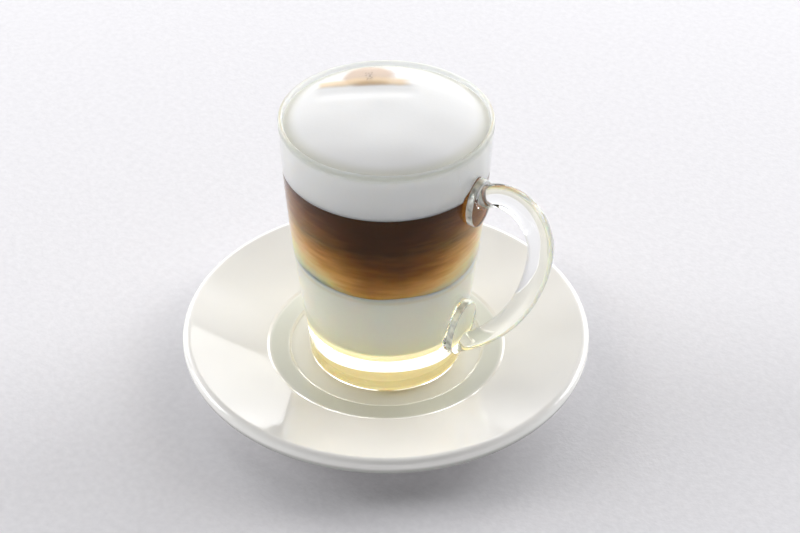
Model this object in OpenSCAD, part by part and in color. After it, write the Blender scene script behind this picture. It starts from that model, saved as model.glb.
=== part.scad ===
// A layered latte in a clear glass mug with a handle, standing on a round porcelain saucer.
// Millimetres, +Z up. The origin is the centre of the saucer's foot on the table, and the
// mug's handle points along +X. Heights of the mug and its drink are counted from the mug's foot.

/* [Mug] */
// Height of the mug from foot to rim
mug_h = 107; // [92:1:130]
// Outer diameter at the rim
rim_d = 79; // [66:1:94]
// Outer diameter at the foot
foot_d = 60; // [50:1:66]
// Height of the upright band round the glass base
band_h = 9; // [6:0.5:14]
// How far the side bows out beyond a straight line from band to rim
side_bow = 1.4; // [0.5:0.1:3]
// Wall thickness at the rim
rim_wall = 1.7; // [1.4:0.1:2.4]
// Wall thickness where the side meets the glass base
low_wall = 3; // [2.4:0.1:4]
// Thickness of the solid glass base
base_t = 14; // [10:0.5:18]
// Radius of the rounded corner inside, between side and floor
floor_corner = 6; // [3:0.5:9]
// Radius of the rounded edge round the foot
foot_edge = 1.2; // [0.6:0.1:2]
// Diameter of the hollow under the base
punt_d = 50; // [40:1:54]
// Depth of the hollow under the base
punt_h = 1.2; // [0.6:0.1:2]

/* [Handle] */
// Distance from the rim's side out to the middle of the rod at its widest
handle_out = 27.5; // [24:0.5:34]
// Drop from the rim to the highest point of the rod's centre line
crest_drop = 15.7; // [12:0.5:20]
// Diameter of the glass rod round its bends
rod_d = 9.6; // [8:0.2:11]
// Diameter of the rod where it leaves the upper pad
neck_d = 8.4; // [7:0.2:9.6]
// Diameter of the rod where it ends at the lower pad
tail_d = 6.6; // [5.4:0.2:8]
// Radius of the rod's centre line over the crest
crest_bend = 13.8; // [12:0.2:15]
// Radius of the rod's centre line at its widest
outer_bend = 20.2; // [17:0.2:23]
// Slope of the rod as it leaves the upper pad
entry_slope = 38; // [30:1:42]
// Turn of the crest's bend beyond its highest point
crest_turn = 52; // [48:1:56]
// Turn of the outer bend
outer_turn = 43; // [39:1:46]
// Height above the foot where the rod's centre line meets the wall again
tail_h = 14; // [11:0.5:17]
// Width of the upper pad, an oval slab fused to the wall
top_pad_w = 14; // [12:0.5:20]
// Height of the upper pad
top_pad_h = 20; // [17:0.5:23]
// Width of the lower pad
low_pad_w = 17; // [15:0.5:21]
// Height of the lower pad
low_pad_h = 25; // [20:0.5:26]
// Height of the lower pad's middle above the end of the rod
low_pad_lift = 10.5; // [8:0.5:11.5]
// Thickness of a pad at its edge
pad_out = 3.6; // [3:0.2:5]
// Radius of the rounding round a pad's edge
pad_edge = 0.8; // [0.8:0.1:2]
// How far a pad's middle swells beyond its edge
pad_swell = 0.4; // [0.4:0.2:3]

/* [Drink] */
// Level of the top of the white milk
milk_top = 49.6; // [40:0.2:55]
// Level of the top of the caramel-coloured layer where milk and coffee mix
mixed_top = 70.2; // [60:0.2:72]
// Level of the top of the dark coffee
coffee_top = 86.6; // [76:0.2:88]
// Drop from the rim to the line where the foam meets the glass
foam_drop = 1.8; // [1:0.1:4]
// Rise of the foam's middle above its edge
foam_crown = 5; // [2:0.2:7]
// How flat the foam's top is: higher is flatter in the middle and steeper at the edge
foam_power = 3; // [2:0.2:5]

/* [Saucer] */
// Outer diameter of the saucer
saucer_d = 160; // [140:1:192]
// Height of the rim's top above the table
saucer_h = 17; // [15:0.2:20]
// Height of the well above the table
well_h = 6.9; // [6:0.1:8]
// Radius of the recess that the mug stands in
recess_r = 38.6; // [36:0.2:42]
// Depth of that recess
recess_step = 0.9; // [0.5:0.1:1.4]
// Width of the shelf between the recess and the outer step
shelf_w = 7.6; // [6:0.2:9]
// Height of the outer step
outer_step = 0.8; // [0.4:0.1:1.2]
// Radius of the rounding on top of the lip
lip_r = 2.4; // [1.8:0.1:3]
// Radius of the rounding under the lip
lip_under_r = 5; // [4:0.2:6]
// Thickness of the porcelain under the well
well_t = 4.4; // [3.6:0.1:5]
// Outer radius of the foot ring
foot_ring_r = 49; // [44:0.5:54]
// Width of the foot ring where it stands on the table
foot_ring_w = 3.4; // [2.6:0.2:5]

/* [Hidden] */
$fn = 96;

GLASS = [0.86, 0.92, 0.92, 0.35];
PORCELAIN = [0.93, 0.93, 0.91];
MILK = [0.90, 0.87, 0.78];
MIXED = [0.68, 0.45, 0.22];
COFFEE = [0.22, 0.12, 0.07];
FOAM = [0.96, 0.94, 0.91];

rim_r = rim_d / 2;
foot_r = foot_d / 2;
band_r = foot_r + 0.4;                       // the band widens a little towards its top
foam_edge = mug_h - foam_drop;
side_steps = 12;                             // straight stretches along each curved side
arc_steps = 6;                               // straight stretches along each small rounding

// Points on an arc round c, from angle a to angle b
function arc(c, r, a, b, n = arc_steps) =
    [for (i = [0:n]) let (t = a + (b - a) * i / n) [c.x + r * cos(t), c.y + r * sin(t)]];

// Outer and inner radius of the mug at a height above its foot
function side_t(z) = (z - band_h) / (mug_h - band_h);
function outer_r(z) = z < band_h
    ? foot_r + (band_r - foot_r) * z / band_h
    : band_r + (rim_r - band_r) * side_t(z) + 4 * side_bow * side_t(z) * (1 - side_t(z));
function wall_at(z) = low_wall + (rim_wall - low_wall) * side_t(z);
function inner_r(z) = outer_r(z) - wall_at(z);

// Height number i of the points along the mug's side, between two levels
function level(lo, hi, i) = lo + (hi - lo) * i / side_steps;

// ---- handle: its centre line in the XZ plane, measured from the mug's foot ----
widest_x = rim_r + handle_out;
crest = [
    widest_x - crest_bend * sin(crest_turn) - outer_bend * (1 - sin(crest_turn)),
    mug_h - crest_drop
];
crest_c = [crest.x, crest.y - crest_bend];
lead_end = [crest.x - crest_bend * sin(entry_slope), crest_c.y + crest_bend * cos(entry_slope)];
crest_end = [crest.x + crest_bend * sin(crest_turn), crest_c.y + crest_bend * cos(crest_turn)];
outer_c = crest_end - outer_bend * [sin(crest_turn), cos(crest_turn)];
low_turn = crest_turn + outer_turn;
outer_end = outer_c + outer_bend * [sin(low_turn), cos(low_turn)];
// The long lower stretch is one arc, tangent to the outer bend, down to the wall and into it
tail = [outer_r(tail_h), tail_h];
drop = tail - outer_end;
inward = -[sin(low_turn), cos(low_turn)];
long_r = (drop * drop) / (2 * (drop * inward));
long_c = outer_end + long_r * inward;
tail_dir = tail - long_c;
buried = rod_d / 2;                          // length of rod inside the wall at each end
long_from = atan2(tail_dir.y, tail_dir.x) - buried / long_r * 180 / PI;
// Where the straight lead-in meets the wall, which is the middle of the upper pad
top_pad_z = lead_end.y - (lead_end.x - outer_r(lead_end.y)) * tan(entry_slope);
lead_dir = [cos(entry_slope), sin(entry_slope)];
lead_start = [outer_r(top_pad_z), top_pad_z] - buried * lead_dir;

// Stations along the rod: a point of the centre line, the angle of its normal and the rod's diameter
function bend(c, r, from, to, d0, d1, n) = [
    for (i = [0:n])
        let (t = i / n, a = from + (to - from) * t)
        [c.x + r * cos(a), c.y + r * sin(a), a, d0 + (d1 - d0) * t]
];
function but_first(list) = [for (i = [1:len(list) - 1]) list[i]];
stations = concat(
    [[lead_start.x, lead_start.y, 90 + entry_slope, neck_d]],
    bend(crest_c, crest_bend, 90 + entry_slope, 90 - crest_turn, neck_d, rod_d, 10),
    but_first(bend(outer_c, outer_bend, 90 - crest_turn, 90 - low_turn, rod_d, rod_d, 6)),
    but_first(bend(long_c, long_r, 90 - low_turn, long_from, rod_d, tail_d, 9))
);
rod_sides = 24;
pad_sides = 36;

// ---- saucer ----
saucer_r = saucer_d / 2;
shelf_h = well_h + recess_step;
flange_r = recess_r + shelf_w;
flange_h = shelf_h + outer_step;
lip_c = [saucer_r - lip_r, saucer_h - lip_r];
flange_end = lip_c + lip_r * [cos(105), sin(105)];
under_c = [saucer_r - lip_under_r, lip_c.y - 0.6];
floor_h = well_h - well_t;
// The flange starts flat at the step and steepens to the lip
function flange(t) = [
    flange_r + 1 + (flange_end.x - flange_r - 1) * t,
    flange_h + (flange_end.y - flange_h) * (0.72 * t + 0.28 * t * t)
];

// ---- modules ----
module revolve(points) { rotate_extrude() polygon(points); }

module mug_outside() {
    revolve(concat(
        [[0, 0]],
        arc([foot_r - foot_edge, foot_edge], foot_edge, -90, 0),
        [for (i = [0:side_steps]) let (z = level(band_h, mug_h - rim_wall / 2, i)) [outer_r(z), z]],
        arc([rim_r - rim_wall / 2, mug_h - rim_wall / 2], rim_wall / 2, 0, 90),
        [[0, mug_h]]
    ));
}

// Points up the inside of the mug between two levels
function inside_wall(lo, hi) =
    [for (i = [0:side_steps]) let (z = level(lo, hi, i)) [inner_r(z), z]];

// The rounded floor, from the axis to the foot of the inside wall
function floor_points() = concat(
    [[0, base_t]],
    arc([inner_r(base_t + floor_corner) - floor_corner, base_t + floor_corner], floor_corner, -90, 0)
);

// The space inside the mug, open at the rim, whose inner edge is rounded
module cavity() {
    revolve(concat(
        floor_points(),
        inside_wall(base_t + floor_corner + 1, mug_h - rim_wall / 2),
        arc([rim_r - rim_wall / 2, mug_h - rim_wall / 2], rim_wall / 2, 180, 90),
        [[rim_r - rim_wall / 2, mug_h + 1], [0, mug_h + 1]]
    ));
}

// Hollow under the base, a shallow cone with a flat top
module punt() {
    translate([0, 0, -1])
        cylinder(h = 1, d = punt_d);
    cylinder(h = punt_h, d1 = punt_d, d2 = punt_d - 8 * punt_h);
}

// A closed skin through rings that all have the same number of points
module loft(rings) {
    n = len(rings[0]);
    last = len(rings) - 1;
    sides = [
        for (i = [0:last - 1], j = [0:n - 1])
            let (a = i * n, b = a + n, k = (j + 1) % n)
            each [[a + j, a + k, b + k], [a + j, b + k, b + j]]
    ];
    ends = [
        [for (j = [n - 1:-1:0]) j],
        [for (j = [0:n - 1]) last * n + j]
    ];
    polyhedron([for (ring = rings, p = ring) p], concat(sides, ends));
}

// The handle's rod, one tube swept along its stations
module rod() {
    loft([
        for (s = stations) [
            for (j = [0:rod_sides - 1])
                let (t = 360 * j / rod_sides, r = s[3] / 2)
                [s.x + r * cos(t) * cos(s[2]), r * sin(t), s.y + r * cos(t) * sin(s[2])]
        ]
    ]);
}

// Rings of a pad, each with its half width, half height and distance out from the wall
function pad_rings(w, h) = concat(
    [[w / 2, h / 2, -2 * low_wall]],
    [for (t = [0:22.5:90])
        let (inset = pad_edge * (1 - cos(t)))
        [w / 2 - inset, h / 2 - inset, pad_out - pad_edge * (1 - sin(t))]],
    [for (s = [0.8:-0.2:0.2])
        [s * (w / 2 - pad_edge), s * (h / 2 - pad_edge), pad_out + pad_swell * (1 - s * s)]]
);

// An oval pad of glass on the wall, with its middle at height z, leaning with the wall
module pad(z, w, h) {
    lean = atan((outer_r(z + h / 2) - outer_r(z - h / 2)) / h);
    translate([outer_r(z), 0, z])
        rotate([0, lean, 0])
            loft([
                for (s = pad_rings(w, h)) [
                    for (j = [0:pad_sides - 1])
                        let (t = 360 * j / pad_sides)
                        [s[2], s[0] * cos(t), -s[1] * sin(t)]
                ]
            ]);
}

module handle() {
    rod();
    pad(top_pad_z, top_pad_w, top_pad_h);
    pad(tail_h + low_pad_lift, low_pad_w, low_pad_h);
}

module glass_mug() {
    color(GLASS)
        translate([0, 0, well_h])
            difference() {
                union() {
                    mug_outside();
                    handle();
                }
                cavity();
                punt();
            }
}

// One layer of the drink: the mug's inside between two levels
module layer(lo, hi) {
    translate([0, 0, well_h])
        revolve(concat([[0, lo]], inside_wall(lo, hi), [[0, hi]]));
}

module milk() {
    color(MILK)
        translate([0, 0, well_h])
            revolve(concat(
                floor_points(),
                inside_wall(base_t + floor_corner + 1, milk_top),
                [[0, milk_top]]
            ));
}

module mixed_layer() { color(MIXED) layer(milk_top, mixed_top); }

module coffee() { color(COFFEE) layer(mixed_top, coffee_top); }

// The foam fills the mug to its edge and swells up beyond the rim in the middle
module foam() {
    color(FOAM)
        translate([0, 0, well_h])
            revolve(concat(
                [[0, coffee_top]],
                inside_wall(coffee_top, foam_edge),
                [for (i = [side_steps - 1:-1:0])
                    let (t = i / side_steps)
                    [inner_r(foam_edge) * t, foam_edge + foam_crown * (1 - pow(t, foam_power))]]
            ));
}

module saucer() {
    color(PORCELAIN)
        revolve(concat(
            [[0, well_h], [recess_r - recess_step, well_h], [recess_r, shelf_h]],
            [[flange_r, shelf_h + 0.2]],
            [for (i = [0:side_steps - 1]) flange(i / side_steps)],
            arc(lip_c, lip_r, 105, 0),
            arc(under_c, lip_under_r, 0, -60),
            [[foot_ring_r + 1, floor_h + 1.6], [foot_ring_r, 0], [foot_ring_r - foot_ring_w, 0]],
            [[foot_ring_r - foot_ring_w - 1, floor_h], [0, floor_h]]
        ));
}

saucer();
glass_mug();
milk();
mixed_layer();
coffee();
foam();
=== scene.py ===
import math
import random

import bmesh
import bpy
from mathutils import Matrix, Vector, noise


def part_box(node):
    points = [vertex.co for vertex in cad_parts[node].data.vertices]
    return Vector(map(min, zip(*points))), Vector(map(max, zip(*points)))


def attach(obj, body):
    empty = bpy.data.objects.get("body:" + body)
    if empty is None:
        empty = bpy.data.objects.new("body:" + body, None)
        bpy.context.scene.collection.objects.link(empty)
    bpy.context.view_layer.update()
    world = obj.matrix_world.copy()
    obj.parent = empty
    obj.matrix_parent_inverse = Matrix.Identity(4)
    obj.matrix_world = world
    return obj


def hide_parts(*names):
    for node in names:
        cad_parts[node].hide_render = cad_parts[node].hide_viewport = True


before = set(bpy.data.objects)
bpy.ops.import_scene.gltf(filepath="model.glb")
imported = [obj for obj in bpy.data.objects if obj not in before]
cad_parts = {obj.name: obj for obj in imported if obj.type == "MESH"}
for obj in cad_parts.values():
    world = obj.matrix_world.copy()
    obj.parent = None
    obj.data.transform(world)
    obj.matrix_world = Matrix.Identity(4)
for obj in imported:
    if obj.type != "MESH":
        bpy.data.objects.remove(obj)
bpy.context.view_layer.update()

# ---- sizes read from the frame ----
mug_lo, mug_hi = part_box("glass_mug")
saucer_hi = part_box("saucer")[1]
milk_lo, milk_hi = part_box("milk")
foam_lo, foam_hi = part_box("foam")
foot_z = mug_lo.z
mug_h = mug_hi.z - foot_z
rim_r = -mug_lo.x
base_t = milk_lo.z - foot_z
milk_top = milk_hi.z - foot_z
mixed_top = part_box("mixed_layer")[1].z - foot_z
coffee_top = foam_lo.z - foot_z
foam_rise_z = foam_hi.z
saucer_r = saucer_hi.x

# ---- sizes that no box tells, as in the CAD source ----
# The mug's shell, and the foam's edge and dome
FOOT_R = 0.030
BAND_H = 0.009
BAND_FLARE = 0.0004
SIDE_BOW = 0.0014
RIM_WALL = 0.0017
LOW_WALL = 0.003
FLOOR_CORNER = 0.006
FOOT_EDGE = 0.0012
PUNT_R = 0.025
PUNT_H = 0.0012
FOAM_DROP = 0.0018
FOAM_POWER = 3.0

# The handle: rod, bends and pads
CREST_DROP = 0.0157
ROD_D = 0.0096
NECK_D = 0.0084
TAIL_D = 0.0066
CREST_BEND = 0.0138
OUTER_BEND = 0.0202
ENTRY_SLOPE = math.radians(38)
CREST_TURN = math.radians(52)
OUTER_TURN = math.radians(43)
TAIL_H = 0.014
TOP_PAD_W, TOP_PAD_H = 0.014, 0.020
LOW_PAD_W, LOW_PAD_H = 0.017, 0.025
LOW_PAD_LIFT = 0.0105
PAD_OUT = 0.0036
PAD_EDGE = 0.0008
PAD_SWELL = 0.0004

# The saucer
RECESS_R = 0.0386
RECESS_STEP = 0.0009
SHELF_W = 0.0076
OUTER_STEP = 0.0008
LIP_R = 0.0024
LIP_UNDER_R = 0.005
WELL_T = 0.0044
FOOT_RING_R = 0.049
FOOT_RING_W = 0.0034

# ---- sizes and shares of the looks only ----
# The coffee stain on the foam, right of and behind the axis as the camera sees it
STAIN_X, STAIN_Y = -0.0065, 0.0240
STAIN_HALF_W, STAIN_HALF_D = 0.0090, 0.0115
STAIN_EDGE_Y = 0.0168
STAIN_LEFT, STAIN_RIGHT = -0.027, 0.0105
STAIN_SOFT = 0.0012                      # half the width of its soft front edge

HANDLE_AZIMUTH = math.radians(34.36)     # the handle's direction, seen from the camera's right
SEGMENTS = 256                           # round pieces
FINE_SEGMENTS = 320                      # the foam and the saucer
GRIP = 0.00015                           # how far the drink reaches into the wall
FOOT_LIFT = 0.00006                      # air between the mug's foot and the saucer
PAD_FROST = 0.0009                       # the pads' rims are cloudy from here outwards
RIM_FROST = 0.30                         # roughness of the mug's rim
RIM_FROST_FROM, RIM_FROST_FULL = 0.0040, 0.0020    # depths below the rim where it starts and is full
GLOW = 0.24                              # light the milk gives off low down, for what its base gathers
CORNER_GLOW = 0.4                        # what is added to it in the milk's outer corner
PAINTED_EDGE_LIGHT = 0.55                             # painted light: how much of the brown layers' height the gold climbs at the sides, where light shines through the thin edge
BUBBLES = 11
TAU = 2 * math.pi


# ---- mesh helpers ----
def seen_from_camera(x, y, z):
    """A point given right of, behind and above the object as the camera sees it."""
    return Matrix.Rotation(HANDLE_AZIMUTH, 4, "Z") @ Vector((x, y, z))


def make_object(name, mesh, material, sharp_deg=40):
    mesh.polygons.foreach_set("use_smooth", [True] * len(mesh.polygons))
    mesh.set_sharp_from_angle(angle=math.radians(sharp_deg))
    mesh.materials.clear()
    mesh.materials.append(material)
    obj = bpy.data.objects.new(name, mesh)
    bpy.context.scene.collection.objects.link(obj)
    return obj


def lathe_mesh(name, profile, segments=SEGMENTS, shape=None):
    """A closed solid of revolution. The profile runs anticlockwise in (r, z) and starts and ends on
    the axis; shape(r, z, angle), if given, returns the moved (r, z)."""
    mesh = bmesh.new()
    rings = []
    for r, z in profile:
        if r < 1e-9:
            height = shape(0.0, z, 0.0)[1] if shape else z
            rings.append([mesh.verts.new((0, 0, height))])
            continue
        ring = []
        for i in range(segments):
            angle = TAU * i / segments
            rr, zz = shape(r, z, angle) if shape else (r, z)
            ring.append(mesh.verts.new((rr * math.cos(angle), rr * math.sin(angle), zz)))
        rings.append(ring)
    for low, high in zip(rings, rings[1:]):
        for i in range(segments):
            j = (i + 1) % segments
            if len(low) == 1:
                mesh.faces.new((low[0], high[j], high[i]))
            elif len(high) == 1:
                mesh.faces.new((low[i], low[j], high[0]))
            else:
                mesh.faces.new((low[i], low[j], high[j], high[i]))
    data = bpy.data.meshes.new(name)
    mesh.to_mesh(data)
    mesh.free()
    return data


def arc(centre, radius, start_deg, end_deg, steps):
    """Points on an arc in the (r, z) plane."""
    points = []
    for i in range(steps + 1):
        t = math.radians(start_deg + (end_deg - start_deg) * i / steps)
        points.append((centre[0] + radius * math.cos(t), centre[1] + radius * math.sin(t)))
    return points


def line(start, end, steps):
    """Points along a straight line, with its two ends."""
    return [
        (start[0] + (end[0] - start[0]) * i / steps, start[1] + (end[1] - start[1]) * i / steps)
        for i in range(steps + 1)
    ]


def rounded(points, radius, steps=6):
    """The points with each inner corner replaced by an arc of that radius, where it fits."""
    result = [points[0]]
    for before, corner, after in zip(points, points[1:], points[2:]):
        c = Vector(corner)
        a, b = Vector(before) - c, Vector(after) - c
        angle = a.angle(b)
        if math.pi - angle < 0.02:
            result.append(corner)
            continue
        reach = min(radius / math.tan(angle / 2), a.length * 0.49, b.length * 0.49)
        start, end = c + a.normalized() * reach, c + b.normalized() * reach
        for i in range(steps + 1):
            t = i / steps
            p = start * (1 - t) ** 2 + c * 2 * t * (1 - t) + end * t ** 2
            result.append((p.x, p.y))
    result.append(points[-1])
    return result


def boolean(obj, other, operation):
    """obj's mesh after an exact boolean with other, which is removed."""
    modifier = obj.modifiers.new(operation.lower(), "BOOLEAN")
    modifier.operation = operation
    modifier.solver = "EXACT"
    modifier.object = other
    graph = bpy.context.evaluated_depsgraph_get()
    result = bpy.data.meshes.new_from_object(obj.evaluated_get(graph))
    obj.modifiers.clear()
    obj.data = result
    bpy.data.objects.remove(other)


# ---- material helpers ----
class Shader:
    """A node material with one Principled surface, and short ways to add nodes to it."""

    def __init__(self, name, **settings):
        self.material = bpy.data.materials.new(name)
        self.material.use_nodes = True
        self.nodes = self.material.node_tree.nodes
        self.links = self.material.node_tree.links
        self.surface = self.nodes["Principled BSDF"]
        for key, value in settings.items():
            self.surface.inputs[key.replace("_", " ")].default_value = value

    def node(self, kind, **settings):
        made = self.nodes.new(kind)
        for key, value in settings.items():
            setattr(made, key, value)
        return made

    def link(self, source, socket):
        self.links.new(source, socket)

    def position(self):
        """Object coordinates, which are the frame's own."""
        return self.node("ShaderNodeTexCoord").outputs["Object"]

    def turned(self):
        """A separate-XYZ node of the place right of (X) and behind (Y) the axis, as the camera sees it."""
        turn = self.node("ShaderNodeMapping")
        turn.inputs["Rotation"].default_value = (0, 0, -HANDLE_AZIMUTH)
        self.link(self.position(), turn.inputs["Vector"])
        split = self.node("ShaderNodeSeparateXYZ")
        self.link(turn.outputs[0], split.inputs[0])
        return split

    def height(self):
        """Height above the table."""
        split = self.node("ShaderNodeSeparateXYZ")
        self.link(self.position(), split.inputs[0])
        return split.outputs["Z"]

    def radius(self):
        """Distance from the drink's axis."""
        flat = self.node("ShaderNodeVectorMath", operation="MULTIPLY")
        flat.inputs[1].default_value = (1, 1, 0)
        self.link(self.position(), flat.inputs[0])
        length = self.node("ShaderNodeVectorMath", operation="LENGTH")
        self.link(flat.outputs[0], length.inputs[0])
        return length.outputs["Value"]

    def noise(self, scale, detail=2.0, stretch=(1, 1, 1)):
        mapping = self.node("ShaderNodeMapping")
        mapping.inputs["Scale"].default_value = stretch
        self.link(self.position(), mapping.inputs["Vector"])
        texture = self.node("ShaderNodeTexNoise")
        texture.inputs["Scale"].default_value = scale
        texture.inputs["Detail"].default_value = detail
        self.link(mapping.outputs[0], texture.inputs["Vector"])
        return texture.outputs["Fac"]

    def math(self, operation, a, b):
        made = self.node("ShaderNodeMath", operation=operation)
        for socket, value in zip(made.inputs, (a, b)):
            if isinstance(value, (int, float)):
                socket.default_value = value
            else:
                self.link(value, socket)
        return made.outputs[0]

    def times(self, a, b):
        return self.math("MULTIPLY", a, b)

    def plus(self, a, b):
        return self.math("ADD", a, b)

    def minus(self, a, b):
        return self.math("SUBTRACT", a, b)

    def uneven(self, depth, scale, detail, stretch=(1, 1, 1)):
        """Noise that swings about zero, over a range of about depth."""
        return self.times(self.minus(self.noise(scale, detail, stretch), 0.5), depth)

    def span(self, value, from_min, from_max, to_min=0.0, to_max=1.0, smooth=True):
        made = self.node("ShaderNodeMapRange")
        made.interpolation_type = "SMOOTHSTEP" if smooth else "LINEAR"
        made.inputs["From Min"].default_value = from_min
        made.inputs["From Max"].default_value = from_max
        made.inputs["To Min"].default_value = to_min
        made.inputs["To Max"].default_value = to_max
        self.link(value, made.inputs["Value"])
        return made.outputs["Result"]

    def ramp(self, value, stops):
        """Colours along a value from 0 to 1."""
        made = self.node("ShaderNodeValToRGB")
        elements = made.color_ramp.elements
        while len(elements) > 1:
            elements.remove(elements[-1])
        elements[0].position = stops[0][0]
        elements[0].color = (*stops[0][1], 1)
        for place, colour in stops[1:]:
            elements.new(place).color = (*colour, 1)
        self.link(value, made.inputs["Fac"])
        return made.outputs["Color"]

    def mix(self, factor, a, b):
        made = self.node("ShaderNodeMix", data_type="RGBA")
        self.link(factor, made.inputs["Factor"])
        for socket, value in zip((made.inputs[6], made.inputs[7]), (a, b)):
            if isinstance(value, tuple):
                socket.default_value = (*value, 1)
            else:
                self.link(value, socket)
        return made.outputs[2]

    def bump(self, value, distance, strength=1.0):
        made = self.node("ShaderNodeBump")
        made.inputs["Strength"].default_value = strength
        made.inputs["Distance"].default_value = distance
        self.link(value, made.inputs["Height"])
        self.link(made.outputs["Normal"], self.surface.inputs["Normal"])

    def colour(self, value):
        self.link(value, self.surface.inputs["Base Color"])


# ---- materials ----
def glass_material():
    shader = Shader(
        "clear_glass", Base_Color=(0.985, 0.995, 0.985, 1), Roughness=0.0, IOR=1.5,
        Transmission_Weight=1.0, Specular_Tint=(0.22, 0.22, 0.22, 1),
    )
    rim_z = foot_z + mug_h
    # Real glass is clear there: the rim is made rough to keep its highlight from breaking up, and greyer as
    # painted shade
    at_rim = shader.span(shader.height(), rim_z - RIM_FROST_FROM, rim_z - RIM_FROST_FULL)
    shader.link(shader.times(at_rim, RIM_FROST), shader.surface.inputs["Roughness"])
    shader.colour(shader.mix(at_rim, (0.985, 0.995, 0.985), (0.86, 0.885, 0.85)))
    shader.bump(shader.noise(30, 0.0), 0.0001, 0.03)
    return shader.material


def pressed_edge_material():
    """The fused rim of the handle's pads: uneven glass, cloudy with tiny dents, and tinted grey-green as
    painted shade.
    """
    shader = Shader("pressed_glass_edge", Roughness=0.22, IOR=1.5, Transmission_Weight=0.4)
    dents = shader.noise(420, 2.0)
    # Painted shade: a grey-green tint, darker in the dents
    shader.colour(shader.ramp(dents, [(0.35, (0.42, 0.46, 0.43)), (0.6, (0.80, 0.84, 0.80))]))
    shader.bump(dents, 0.0004, 0.6)
    return shader.material


def porcelain_material():
    shader = Shader("white_porcelain", Roughness=0.08, IOR=1.5)
    tone = shader.noise(14, 3.0)
    glaze = shader.ramp(tone, [(0.3, (0.79, 0.785, 0.76)), (0.7, (0.82, 0.81, 0.79))])
    # Painted shade, not real glaze: greyer in the recess, more so on its shelf, and under the lip
    radius = shader.radius()
    flange_r = RECESS_R + SHELF_W
    recess = shader.span(radius, flange_r + 0.0005, flange_r - 0.0015)
    shelf = shader.times(recess, shader.span(radius, RECESS_R - 0.001, RECESS_R + 0.001))
    glaze = shader.mix(recess, glaze, (0.74, 0.745, 0.69))
    glaze = shader.mix(shelf, glaze, (0.60, 0.615, 0.55))
    outside = shader.span(radius, saucer_r - 0.005, saucer_r - 0.003)
    below = shader.span(shader.height(), saucer_hi.z - LIP_R, saucer_hi.z - 0.0045)
    under = shader.times(outside, below)
    shader.colour(shader.mix(under, glaze, (0.44, 0.445, 0.42)))
    polish = shader.span(shader.noise(60, 3.0), 0.3, 0.7, 0.05, 0.11)
    shader.link(polish, shader.surface.inputs["Roughness"])
    shader.bump(shader.noise(30, 1.0), 0.0004, 0.15)
    return shader.material


def drink_shader(name, radius):
    """A liquid behind glass: no gloss of its own, and light that spreads inside it."""
    return Shader(
        name, Roughness=0.35, IOR=1.33, Specular_IOR_Level=0.0, Subsurface_Weight=1.0,
        Subsurface_Scale=0.01, Subsurface_Radius=radius,
    )


def milk_material():
    shader = drink_shader("milk", (1.2, 1.0, 0.7))
    low = milk_lo.z
    height = shader.span(shader.height(), low, low + 0.016, smooth=False)
    white = shader.ramp(height, [
        (0.0, (0.98, 0.85, 0.48)), (0.35, (0.985, 0.93, 0.70)), (0.9, (0.985, 0.955, 0.81)),
    ])
    # A faint tan veil hangs a little below the brown layer
    sway = shader.uneven(0.004, 22, 1.0)
    depth = shader.minus(milk_hi.z, shader.plus(shader.height(), sway))
    veil = shader.times(shader.span(depth, 0.0016, 0.0030, 0.0, 0.7), shader.span(depth, 0.0044, 0.0030))
    shader.colour(shader.mix(veil, white, (0.93, 0.84, 0.62)))
    # Stands in for the light that the thick base gathers and sends up into the milk
    glow = shader.span(shader.height(), low + 0.0055, low + 0.0045, 0.0, GLOW, smooth=False)
    corner_r = inner_r(base_t + FLOOR_CORNER)
    near_side = shader.span(shader.radius(), corner_r - 0.0045, corner_r - 0.0025)
    near_floor = shader.span(shader.height(), low + 0.0050, low + 0.0036, 0.0, CORNER_GLOW)
    glow = shader.plus(glow, shader.times(near_side, near_floor))
    shader.link(glow, shader.surface.inputs["Emission Strength"])
    shader.surface.inputs["Emission Color"].default_value = (1.0, 0.77, 0.40, 1)
    return shader.material


def brew_colour(shader):
    """From gold above the milk to dark under the foam. The gold climbs higher at the two sides left and
    right as the camera sees them, painted light for light shining through the thin edges, and the tones run
    through the mixed layer and the coffee without a break."""
    low, high = milk_hi.z, foot_z + coffee_top
    across = shader.turned().outputs["X"]
    reach = shader.math("ABSOLUTE", shader.times(across, 1 / rim_r), 0.0)
    # Painted light: the gold climbs at the sides left and right as the camera sees them
    edge_light = shader.span(reach, 0.16, 0.85, 0.0, PAINTED_EDGE_LIGHT, smooth=False)
    broad = shader.uneven(0.36, 28, 2.0, (1, 1, 3))
    fine = shader.uneven(0.30, 110, 5.0, (1, 1, 6))
    height = shader.span(shader.height(), low, high, smooth=False)
    share = shader.minus(shader.plus(shader.plus(height, broad), fine), edge_light)
    shader.colour(shader.ramp(shader.span(share, -0.5, 1.0, smooth=False), [
        (0.08, (0.96, 0.80, 0.48)), (0.20, (0.95, 0.65, 0.28)), (0.32, (0.74, 0.40, 0.11)),
        (0.42, (0.52, 0.26, 0.062)), (0.50, (0.34, 0.150, 0.030)), (0.60, (0.21, 0.084, 0.018)),
        (0.70, (0.115, 0.042, 0.011)), (0.85, (0.078, 0.028, 0.008)),
    ]))


def brew_material(name, radius):
    shader = drink_shader(name, radius)
    brew_colour(shader)
    return shader.material


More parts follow.
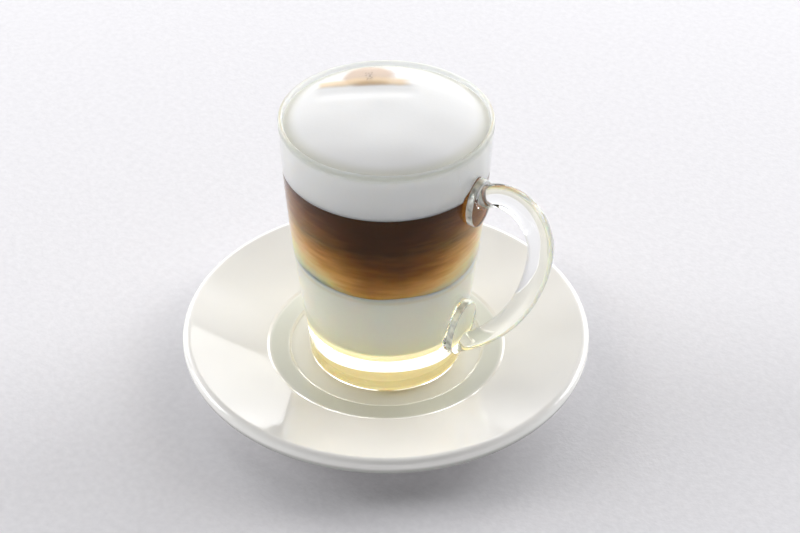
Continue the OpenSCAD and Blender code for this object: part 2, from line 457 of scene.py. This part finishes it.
def foam_material():
    """White foam with a pale coffee stain: a round patch and two thin wings along a fold."""
    shader = Shader(
        "milk_foam", Roughness=0.6, Specular_IOR_Level=0.25, Subsurface_Weight=1.0,
        Subsurface_Scale=0.01, Subsurface_Radius=(0.5, 0.48, 0.45),
    )
    # Painted shade: the top is a darker white than the foam's sides under its edge
    top = shader.ramp(shader.noise(40, 3.0), [
        (0.3, (0.76, 0.76, 0.76)), (0.7, (0.79, 0.79, 0.79)),
    ])
    edge_z = foot_z + mug_h - FOAM_DROP
    edge_r = inner_r(mug_h - FOAM_DROP)
    # Painted shade: the foam's top greys towards the glass wall
    near_wall = shader.span(shader.radius(), edge_r - 0.006, edge_r - 0.0005)
    top = shader.mix(near_wall, top, (0.70, 0.695, 0.64))
    # Painted light: the sides under the edge are a lighter white than the top
    below = shader.span(shader.height(), edge_z - 0.0003, edge_z - 0.0015)
    white = shader.mix(below, top, (0.97, 0.965, 0.94))
    split = shader.turned()
    uneven = shader.uneven(0.004, 160, 3.0)
    x = shader.plus(split.outputs["X"], uneven)
    y = shader.plus(split.outputs["Y"], shader.times(uneven, 0.4))
    over_x = shader.times(shader.minus(x, STAIN_X), 1 / STAIN_HALF_W)
    over_y = shader.times(shader.minus(y, STAIN_Y), 1 / STAIN_HALF_D)
    reach = shader.plus(shader.times(over_x, over_x), shader.times(over_y, over_y))
    patch = shader.span(reach, 1.45, 0.55)
    behind_edge = shader.span(y, STAIN_EDGE_Y - STAIN_SOFT, STAIN_EDGE_Y + STAIN_SOFT)
    wing_back = shader.span(y, STAIN_EDGE_Y + 0.0068, STAIN_EDGE_Y + 0.0026)
    left_end = shader.span(x, STAIN_LEFT, STAIN_LEFT + 0.003)
    right_end = shader.span(x, STAIN_RIGHT, STAIN_RIGHT - 0.005)
    wings = shader.times(shader.times(behind_edge, wing_back), shader.times(left_end, right_end))
    stained = shader.mix(shader.times(patch, behind_edge), white, (0.56, 0.440, 0.355))
    shader.colour(shader.mix(shader.times(wings, 0.85), stained, (0.72, 0.55, 0.36)))
    shader.bump(shader.noise(900, 2.0), 0.0001, 0.25)
    return shader.material


def table_material():
    shader = Shader("white_tablecloth", Roughness=0.8, Specular_IOR_Level=0.2)
    shader.colour(shader.ramp(shader.noise(350, 4.0), [
        (0.3, (0.71, 0.702, 0.73)), (0.7, (0.76, 0.752, 0.78)),
    ]))
    shader.bump(shader.noise(700, 4.0), 0.0003, 0.25)
    return shader.material


# ---- mug ----
def side_share(z):
    return (z - BAND_H) / (mug_h - BAND_H)


def outer_r(z):
    """Outer radius of the mug at a height above its foot."""
    if z < BAND_H:
        return FOOT_R + BAND_FLARE * z / BAND_H
    t = side_share(z)
    band_r = FOOT_R + BAND_FLARE
    return band_r + (rim_r - band_r) * t + 4 * SIDE_BOW * t * (1 - t)


def inner_r(z):
    return outer_r(z) - LOW_WALL - (RIM_WALL - LOW_WALL) * side_share(z)


def wall(radius_at, low, high, steps, inset=0.0):
    """Points up the mug's wall, each with the table as height zero."""
    points = []
    for i in range(steps + 1):
        z = low + (high - low) * i / steps
        points.append((radius_at(z) + inset, foot_z + z))
    return points


def floor_arc(inset=0.0):
    """The rounded corner between the mug's floor and its side."""
    centre = (inner_r(base_t + FLOOR_CORNER) - FLOOR_CORNER, foot_z + base_t + FLOOR_CORNER)
    return arc(centre, FLOOR_CORNER + inset, -90, 0, 16)


def mug_shell_profile():
    half = RIM_WALL / 2
    rim_c = (rim_r - half, foot_z + mug_h - half)
    corner = floor_arc()
    base_z = foot_z + FOOT_LIFT
    under = rounded([
        (0.004, foot_z + PUNT_H),
        (PUNT_R - 4 * PUNT_H, foot_z + PUNT_H),
        (PUNT_R, base_z),
        (FOOT_R - FOOT_EDGE, base_z),
    ], 0.003)
    return [
        (0.0, foot_z + PUNT_H),
        *under[:-1],
        *arc((FOOT_R - FOOT_EDGE, base_z + FOOT_EDGE), FOOT_EDGE, -90, 0, 10)[:-1],
        *wall(outer_r, FOOT_EDGE + FOOT_LIFT, mug_h - half, 90)[:-1],
        *arc(rim_c, half, 0, 180, 12)[:-1],
        *wall(inner_r, base_t + FLOOR_CORNER, mug_h - half, 80)[:0:-1],
        *corner[::-1],
        *line((corner[0][0], corner[0][1]), (0.0, corner[0][1]), 6)[1:],
    ]


def loft_mesh(name, rings):
    """A closed skin through rings that all have the same number of points."""
    mesh = bmesh.new()
    verts = [[mesh.verts.new(point) for point in ring] for ring in rings]
    for low, high in zip(verts, verts[1:]):
        for j in range(len(low)):
            k = (j + 1) % len(low)
            mesh.faces.new((low[j], low[k], high[k], high[j]))
    mesh.faces.new(verts[0][::-1])
    mesh.faces.new(verts[-1])
    bmesh.ops.recalc_face_normals(mesh, faces=mesh.faces)
    data = bpy.data.meshes.new(name)
    mesh.to_mesh(data)
    mesh.free()
    return data


def rod_rings(stations, sides=48):
    """Rings round the handle's centre line, whose stations are (x, z, normal angle, diameter)."""
    rings = []
    for x, z, normal, diameter in stations:
        ring = []
        for j in range(sides):
            t = TAU * j / sides
            out = diameter / 2 * math.cos(t)
            ring.append((
                x + out * math.cos(normal), diameter / 2 * math.sin(t), z + out * math.sin(normal),
            ))
        rings.append(ring)
    return rings


def bend(centre, radius, start, end, d_start, d_end, steps):
    stations = []
    for i in range(steps + 1):
        t = i / steps
        angle = start + (end - start) * t
        stations.append((
            centre[0] + radius * math.cos(angle), centre[1] + radius * math.sin(angle),
            angle, d_start + (d_end - d_start) * t,
        ))
    return stations


def handle_route():
    """Stations of the rod, and the height of the upper pad above the foot."""
    widest_x = mug_hi.x - ROD_D / 2
    quarter = math.pi / 2
    low_turn = CREST_TURN + OUTER_TURN
    crest_c = Vector((
        widest_x - CREST_BEND * math.sin(CREST_TURN) - OUTER_BEND * (1 - math.sin(CREST_TURN)),
        mug_h - CREST_DROP - CREST_BEND,
    ))
    turn = Vector((math.sin(CREST_TURN), math.cos(CREST_TURN)))
    lead_end = crest_c + CREST_BEND * Vector((-math.sin(ENTRY_SLOPE), math.cos(ENTRY_SLOPE)))
    outer_c = crest_c + (CREST_BEND - OUTER_BEND) * turn
    inward = -Vector((math.sin(low_turn), math.cos(low_turn)))
    outer_end = outer_c - OUTER_BEND * inward
    drop = Vector((outer_r(TAIL_H), TAIL_H)) - outer_end
    long_r = drop.length_squared / (2 * drop.dot(inward))
    long_c = outer_end + long_r * inward
    tail = Vector((outer_r(TAIL_H), TAIL_H)) - long_c
    long_from = math.atan2(tail.y, tail.x) - ROD_D / 2 / long_r
    pad_z = lead_end.y - (lead_end.x - outer_r(lead_end.y)) * math.tan(ENTRY_SLOPE)
    lead_dir = Vector((math.cos(ENTRY_SLOPE), math.sin(ENTRY_SLOPE)))
    lead_start = Vector((outer_r(pad_z), pad_z)) - ROD_D / 2 * lead_dir
    stations = [
        (lead_start.x, lead_start.y, quarter + ENTRY_SLOPE, NECK_D),
        *bend(crest_c, CREST_BEND, quarter + ENTRY_SLOPE, quarter - CREST_TURN, NECK_D, ROD_D, 36),
        *bend(outer_c, OUTER_BEND, quarter - CREST_TURN, quarter - low_turn, ROD_D, ROD_D, 24)[1:],
        *bend(long_c, long_r, quarter - low_turn, long_from, ROD_D, TAIL_D, 40)[1:],
    ]
    return [(x, z + foot_z, normal, d) for x, z, normal, d in stations], pad_z


def pad_place(z, height):
    """Where a pad sits on the wall: its own X points outwards and its Z up the wall."""
    lean = math.atan((outer_r(z + height / 2) - outer_r(z - height / 2)) / height)
    return Matrix.Translation((outer_r(z), 0, foot_z + z)) @ Matrix.Rotation(lean, 4, "Y")


def pad_object(z, width, height, material, sides=96):
    """An oval slab of glass fused to the wall, leaning with it and swelling towards its middle."""
    sizes = [(width / 2, height / 2, -LOW_WALL), (width / 2, height / 2, PAD_FROST)]
    for i in range(9):
        t = math.pi / 2 * i / 8
        inset = PAD_EDGE * (1 - math.cos(t))
        out = PAD_OUT - PAD_EDGE * (1 - math.sin(t))
        sizes.append((width / 2 - inset, height / 2 - inset, out))
    for i in range(11, 0, -1):
        share = i / 12
        out = PAD_OUT + PAD_SWELL * (1 - share * share)
        sizes.append((share * (width / 2 - PAD_EDGE), share * (height / 2 - PAD_EDGE), out))
    rings = [
        [(out, half_w * math.cos(TAU * j / sides), -half_h * math.sin(TAU * j / sides))
         for j in range(sides)]
        for half_w, half_h, out in sizes
    ]
    mesh = loft_mesh("pad", rings)
    mesh.transform(pad_place(z, height))
    return make_object("pad", mesh, material)


def frost_pad_side(mesh, z, width, height, slot):
    """Gives the rim of a pad, between the wall and its outer face, the material in that slot."""
    inverse = pad_place(z, height).inverted()
    for polygon in mesh.polygons:
        place = inverse @ polygon.center
        reach = math.hypot(place.y / (width / 2), place.z / (height / 2))
        facing = abs((inverse.to_3x3() @ polygon.normal).x)
        if 0.93 < reach < 1.02 and PAD_FROST < place.x < PAD_OUT + PAD_SWELL and facing < 0.8:
            polygon.material_index = slot


def mug(material, edge_material):
    """The shell and the handle, fused into one closed piece of glass."""
    stations, top_pad_z = handle_route()
    pads = [
        (top_pad_z, TOP_PAD_W, TOP_PAD_H),
        (TAIL_H + LOW_PAD_LIFT, LOW_PAD_W, LOW_PAD_H),
    ]
    handle = make_object("handle", loft_mesh("handle", rod_rings(stations)), material)
    for pad in pads:
        boolean(handle, pad_object(*pad, material), "UNION")
    # What of the handle would reach into the drink is cut away halfway through the wall
    half_wall = (LOW_WALL + RIM_WALL) / 4
    core = [
        (0.0, foot_z),
        *wall(outer_r, 0.0, mug_h, 60, inset=-half_wall),
        (0.0, foot_z + mug_h),
    ]
    boolean(handle, make_object("core", lathe_mesh("core", core), material), "DIFFERENCE")
    shell = make_object("shell", lathe_mesh("shell", mug_shell_profile()), material)
    boolean(shell, handle, "UNION")
    piece = make_object("glass_mug_smooth", shell.data, material, 30)
    bpy.data.objects.remove(shell)
    piece.data.materials.append(edge_material)
    for pad in pads:
        frost_pad_side(piece.data, *pad, 1)
    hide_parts("glass_mug")
    return piece


# ---- drink ----
def wave(angle, depth, seed):
    """A smooth uneven height round the mug, within about depth of zero."""
    spot = Vector((1.3 * math.cos(angle), 1.3 * math.sin(angle), seed))
    return depth * 2 * noise.noise(spot)


def levels(low, low_depth, low_seed, high, high_depth, high_seed):
    """A shape function for lathe_mesh: the layer's lowest and highest rings follow waves."""
    def shape(r, z, angle):
        share = min(1.0, max(0.0, (z - low) / (high - low)))
        near_wall = min(1.0, r / rim_r * 1.2)
        low_lift = (1 - share) * wave(angle, low_depth, low_seed)
        high_lift = share * wave(angle, high_depth, high_seed)
        return r, z + (low_lift + high_lift) * near_wall
    return shape


MILK_WAVE = (0.0011, 2.0)
MIXED_WAVE = (0.0003, 5.0)
COFFEE_WAVE = (0.0001, 9.0)


def layer(name, low, high, waves, material, node):
    low_wave, high_wave = waves
    profile = [
        (0.0, foot_z + low),
        *line((0.006, foot_z + low), (inner_r(low) + GRIP, foot_z + low), 5)[:-1],
        *wall(inner_r, low, high, 24, GRIP),
        *line((inner_r(high) + GRIP, foot_z + high), (0.0, foot_z + high), 5)[1:],
    ]
    shape = levels(foot_z + low, *low_wave, foot_z + high, *high_wave)
    piece = make_object(name, lathe_mesh(name, profile, shape=shape), material)
    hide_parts(node)
    return piece


def milk(material):
    corner = floor_arc(GRIP)
    low = foot_z + base_t - GRIP
    side_from = base_t + FLOOR_CORNER
    profile = [
        (0.0, low),
        *line((0.006, low), (corner[0][0], low), 4)[:-1],
        *corner[:-1],
        *wall(inner_r, side_from, milk_top, 40, GRIP),
        *line((inner_r(milk_top) + GRIP, foot_z + milk_top), (0.0, foot_z + milk_top), 5)[1:],
    ]
    shape = levels(foot_z + side_from, 0.0, 0.0, foot_z + milk_top, *MILK_WAVE)
    piece = make_object("milk_smooth", lathe_mesh("milk_smooth", profile, shape=shape), material)
    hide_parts("milk")
    return piece


def hump(value, middle, width):
    """One at the middle, falling smoothly to nothing about twice the width away."""
    return math.exp(-((value - middle) / width) ** 2)


def step_up(value, place, width):
    """Rises smoothly from 0 to 1 round a place."""
    t = min(1.0, max(0.0, (value - place) / width + 0.5))
    return t * t * (3 - 2 * t)


def foam_relief(x, y):
    """Height above the smooth dome, at a place right of and behind the axis as the camera sees it:
    a shallow valley, the folded edge behind it and the poured mound that the stain covers."""
    across = step_up(x, -0.026, 0.006) * (1 - step_up(x, 0.010, 0.006))
    valley = -0.00045 * hump(y, STAIN_EDGE_Y - 0.005, 0.0035) * across
    fold_back = 1 - step_up(y, STAIN_EDGE_Y + 0.006, 0.010)
    fold = 0.0004 * step_up(y, STAIN_EDGE_Y, 0.0026) * fold_back * across
    reach = ((x - STAIN_X) / STAIN_HALF_W) ** 2 + ((y - STAIN_Y) / STAIN_HALF_D) ** 2
    mound = 0.0007 * max(0.0, 1 - reach) ** 0.8 * step_up(y, STAIN_EDGE_Y + 0.001, 0.003)
    swell = 0.0003 * noise.noise(Vector((x * 60, y * 60, 3.0)))
    return valley + fold + mound + swell


def foam_edge():
    """Height of the foam's edge above the foot, its radius, and how far the dome rises over it."""
    edge = mug_h - FOAM_DROP
    return edge, inner_r(edge) + GRIP, foam_rise_z - foot_z - edge


def foam(material):
    edge, edge_r, crown = foam_edge()
    steps = 72
    top = []
    for i in range(steps - 1, -1, -1):
        t = i / steps
        top.append((edge_r * t, foot_z + edge + crown * (1 - t ** FOAM_POWER)))
    low = coffee_top
    profile = [
        (0.0, foot_z + low),
        *line((0.006, foot_z + low), (inner_r(low) + GRIP, foot_z + low), 5)[:-1],
        *wall(inner_r, low, edge, 24, GRIP),
        *top,
    ]

    def shape(r, z, angle):
        if z <= foot_z + edge or r > edge_r - 0.0005:
            return r, z
        seen = angle - HANDLE_AZIMUTH
        near_edge = min(1.0, (edge_r - r) / 0.006)
        return r, z + near_edge * foam_relief(r * math.cos(seen), r * math.sin(seen))

    mesh = lathe_mesh("foam_smooth", profile, FINE_SEGMENTS, shape)
    piece = make_object("foam_smooth", mesh, material, 60)
    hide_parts("foam")
    return piece


def foam_height(x, y):
    """Height of the foam's top above the table, at a place as the camera sees it."""
    edge, edge_r, crown = foam_edge()
    dome = foot_z + edge + crown * (1 - (math.hypot(x, y) / edge_r) ** FOAM_POWER)
    return dome + foam_relief(x, y)


def bubbles(material):
    """A cluster of tiny burst bubbles on the stain, each a low ring of foam."""
    rng = random.Random(7)
    mesh = bmesh.new()
    placed = []
    while len(placed) < BUBBLES:
        x = rng.uniform(STAIN_X - 0.0012, STAIN_X + 0.0016)
        y = rng.uniform(STAIN_Y - 0.0042, STAIN_Y + 0.0030)
        ring_r = rng.uniform(0.00020, 0.00034)
        if any(math.hypot(x - a, y - b) < ring_r + c + 0.0005 for a, b, c in placed):
            continue
        placed.append((x, y, ring_r))
        tube_r = ring_r * 0.42
        centre = Vector((x, y, foam_height(x, y)))
        rings = []
        for i in range(20):
            t = TAU * i / 20
            ring = []
            for j in range(8):
                u = TAU * j / 8
                out = ring_r + tube_r * math.cos(u)
                rise = 0.6 * tube_r * math.sin(u)
                place = centre + Vector((out * math.cos(t), out * math.sin(t), rise))
                ring.append(mesh.verts.new(seen_from_camera(*place)))
            rings.append(ring)
        for i, ring in enumerate(rings):
            following = rings[(i + 1) % len(rings)]
            for j in range(8):
                k = (j + 1) % 8
                mesh.faces.new((ring[j], following[j], following[k], ring[k]))
    bmesh.ops.recalc_face_normals(mesh, faces=mesh.faces)
    data = bpy.data.meshes.new("foam_bubbles")
    mesh.to_mesh(data)
    mesh.free()
    piece = make_object("foam_bubbles", data, material, 80)
    return piece


# ---- saucer ----
def saucer_profile():
    """Anticlockwise from the axis underneath, round the lip, to the axis on top."""
    top = saucer_hi.z
    shelf_z = foot_z + RECESS_STEP
    flange_r = RECESS_R + SHELF_W
    flange_z = shelf_z + OUTER_STEP
    lip_c = (saucer_r - LIP_R, top - LIP_R)
    lip = arc(lip_c, LIP_R, 0, 105, 16)
    end_r, end_z = lip[-1]
    flange = []
    for i in range(40):
        t = i / 40
        flange.append((
            flange_r + 0.001 + (end_r - flange_r - 0.001) * t,
            flange_z + (end_z - flange_z) * (0.72 * t + 0.28 * t * t),
        ))
    under = arc((saucer_r - LIP_UNDER_R, lip_c[1] - 0.0006), LIP_UNDER_R, -60, 0, 12)
    floor_z = foot_z - WELL_T
    foot = rounded([
        (0.006, floor_z),
        (FOOT_RING_R - FOOT_RING_W - 0.001, floor_z),
        (FOOT_RING_R - FOOT_RING_W, 0.0),
        (FOOT_RING_R, 0.0),
        (FOOT_RING_R + 0.001, floor_z + 0.0016),
        under[0],
    ], 0.0008)
    steps = rounded([
        flange[1],
        flange[0],
        (flange_r, shelf_z + 0.0002),
        (RECESS_R, shelf_z),
        (RECESS_R - RECESS_STEP, foot_z),
        (0.006, foot_z),
    ], 0.0007)
    return [
        (0.0, floor_z), *foot, *under[1:], *lip[1:], *flange[:1:-1], *steps, (0.0, foot_z),
    ]


def saucer(material):
    mesh = lathe_mesh("saucer_smooth", saucer_profile(), FINE_SEGMENTS)
    piece = make_object("saucer_smooth", mesh, material, 60)
    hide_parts("saucer")
    return piece


# ---- camera, light and table ----
CAMERA_YAW, CAMERA_PITCH, CAMERA_ROLL = 0.0095, 0.6535, 0.0069
CAMERA_PLACE = (0, -0.5618, 0.4752)      # right of, behind and above the object
LENS_MM, SENSOR_MM = 82.6, 36.0


def make_camera():
    flat = math.cos(CAMERA_PITCH)
    forward = Vector((
        math.sin(CAMERA_YAW) * flat, math.cos(CAMERA_YAW) * flat, -math.sin(CAMERA_PITCH),
    ))
    level_right = Vector((math.cos(CAMERA_YAW), -math.sin(CAMERA_YAW), 0))
    level_up = level_right.cross(forward)
    right = math.cos(CAMERA_ROLL) * level_right + math.sin(CAMERA_ROLL) * level_up
    up = math.cos(CAMERA_ROLL) * level_up - math.sin(CAMERA_ROLL) * level_right
    axes = [seen_from_camera(*v) for v in (right, up, -forward)]
    place = Matrix([[a[i] for a in axes] for i in range(3)]).to_4x4()
    place.translation = seen_from_camera(*CAMERA_PLACE)
    data = bpy.data.cameras.new("camera")
    data.lens = LENS_MM
    data.sensor_width = SENSOR_MM
    data.clip_start = 0.01
    camera = bpy.data.objects.new("camera", data)
    camera.matrix_world = place
    bpy.context.scene.collection.objects.link(camera)
    bpy.context.scene.camera = camera


def area_light(name, azimuth_deg, elevation_deg, distance, size, power):
    """A rectangular light aimed at the drink; azimuth 0 is straight behind it, and 90 on the right."""
    azimuth, elevation = math.radians(azimuth_deg), math.radians(elevation_deg)
    data = bpy.data.lights.new(name, "AREA")
    data.shape = "RECTANGLE"
    data.size, data.size_y = size
    data.energy = power
    light = bpy.data.objects.new(name, data)
    place = seen_from_camera(
        distance * math.cos(elevation) * math.sin(azimuth),
        distance * math.cos(elevation) * math.cos(azimuth),
        distance * math.sin(elevation),
    )
    light.location = place
    light.rotation_euler = (LIGHT_AIM - place).to_track_quat("-Z", "Y").to_euler()
    bpy.context.scene.collection.objects.link(light)


# Windows round the far side, and a weak ceiling: azimuth, elevation and power
WINDOWS = {
    "window_left": (-76, 20, 62.0),
    "window_far_left": (-38, 20, 42.0),
    "window_far_middle_left": (-20, 20, 12.0),
    "window_far_middle_right": (20, 20, 32.0),
    "window_far_right": (38, 20, 30.0),
    "window_right": (64, 20, 66.0),
    "ceiling": (0, 75, 6.0),
}
WINDOW_DISTANCE = 3.0
WINDOW_SIZE = (1.5, 1.5)
LIGHT_AIM = Vector((0, 0, 0.05))
ROOM_FRONT = 3.8                         # brightness of the room's low front
ROOM_FRONT_BAND = (-0.1, 0.18, 0.04)     # from and to which height of the view's direction, and softness
STRIP = 1.7                              # brightness of the high windows behind the drink
STRIP_FRONT = 0.25                       # share of that on the drink's near side
STRIP_BAND = (0.56, 0.70, 0.03)


def make_room():
    """A dark room with a low bright band in front of the drink and a high one, mostly behind it."""
    world = bpy.data.worlds.new("room")
    world.use_nodes = True
    nodes, links = world.node_tree.nodes, world.node_tree.links

    def calc(operation, a, b):
        made = nodes.new("ShaderNodeMath")
        made.operation = operation
        for socket, value in zip(made.inputs, (a, b)):
            if isinstance(value, (int, float)):
                socket.default_value = value
            else:
                links.new(value, socket)
        return made.outputs[0]

    def band(value, low, high, soft):
        """One between two heights, falling smoothly to nothing outside."""
        made = nodes.new("ShaderNodeMapRange")
        made.interpolation_type = "SMOOTHSTEP"
        for key, number in (("From Min", low - soft), ("From Max", low + soft)):
            made.inputs[key].default_value = number
        links.new(value, made.inputs["Value"])
        upper = nodes.new("ShaderNodeMapRange")
        upper.interpolation_type = "SMOOTHSTEP"
        for key, number in (("From Min", high - soft), ("From Max", high + soft),
                            ("To Min", 1.0), ("To Max", 0.0)):
            upper.inputs[key].default_value = number
        links.new(value, upper.inputs["Value"])
        return calc("MULTIPLY", made.outputs["Result"], upper.outputs["Result"])

    turn = nodes.new("ShaderNodeMapping")
    turn.inputs["Rotation"].default_value = (0, 0, -HANDLE_AZIMUTH)
    links.new(nodes.new("ShaderNodeTexCoord").outputs["Generated"], turn.inputs["Vector"])
    split = nodes.new("ShaderNodeSeparateXYZ")
    links.new(turn.outputs[0], split.inputs[0])
    away, height = split.outputs["Y"], split.outputs["Z"]
    front = calc("MAXIMUM", calc("MULTIPLY", away, -1.0), 0.0)
    low = calc("MULTIPLY", band(height, *ROOM_FRONT_BAND), calc("MULTIPLY", front, ROOM_FRONT))
    share = calc("MAXIMUM", calc("GREATER_THAN", away, 0.2), STRIP_FRONT)
    high = calc("MULTIPLY", band(height, *STRIP_BAND), calc("MULTIPLY", share, STRIP))
    links.new(calc("ADD", low, high), nodes["Background"].inputs["Color"])
    bpy.context.scene.world = world


def make_light():
    for name, (azimuth, elevation, power) in WINDOWS.items():
        area_light(name, azimuth, elevation, WINDOW_DISTANCE, WINDOW_SIZE, power)
    make_room()


def make_table():
    bpy.ops.mesh.primitive_grid_add(x_subdivisions=8, y_subdivisions=8, size=5.0)
    table = bpy.context.object
    table.name = "table"
    table.data.materials.append(table_material())


make_camera()
make_light()
make_table()
scene = bpy.context.scene
scene.view_settings.view_transform = "Standard"
# Light crosses the glass many times between the drink and the windows
scene.cycles.max_bounces = 32
scene.cycles.diffuse_bounces = 8
scene.cycles.glossy_bounces = 12
scene.cycles.transmission_bounces = 24

foam_white = foam_material()
pieces = [
    saucer(porcelain_material()),
    mug(glass_material(), pressed_edge_material()),
    milk(milk_material()),
    layer("mixed_layer_smooth", milk_top, mixed_top, (MILK_WAVE, MIXED_WAVE),
          brew_material("coffee_and_milk", (2.0, 1.2, 0.4)), "mixed_layer"),
    layer("coffee_smooth", mixed_top, coffee_top, (MIXED_WAVE, COFFEE_WAVE),
          brew_material("coffee", (2.0, 1.0, 0.4)), "coffee"),
    foam(foam_white),
    bubbles(foam_white),
]
for piece in pieces:
    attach(piece, "root")
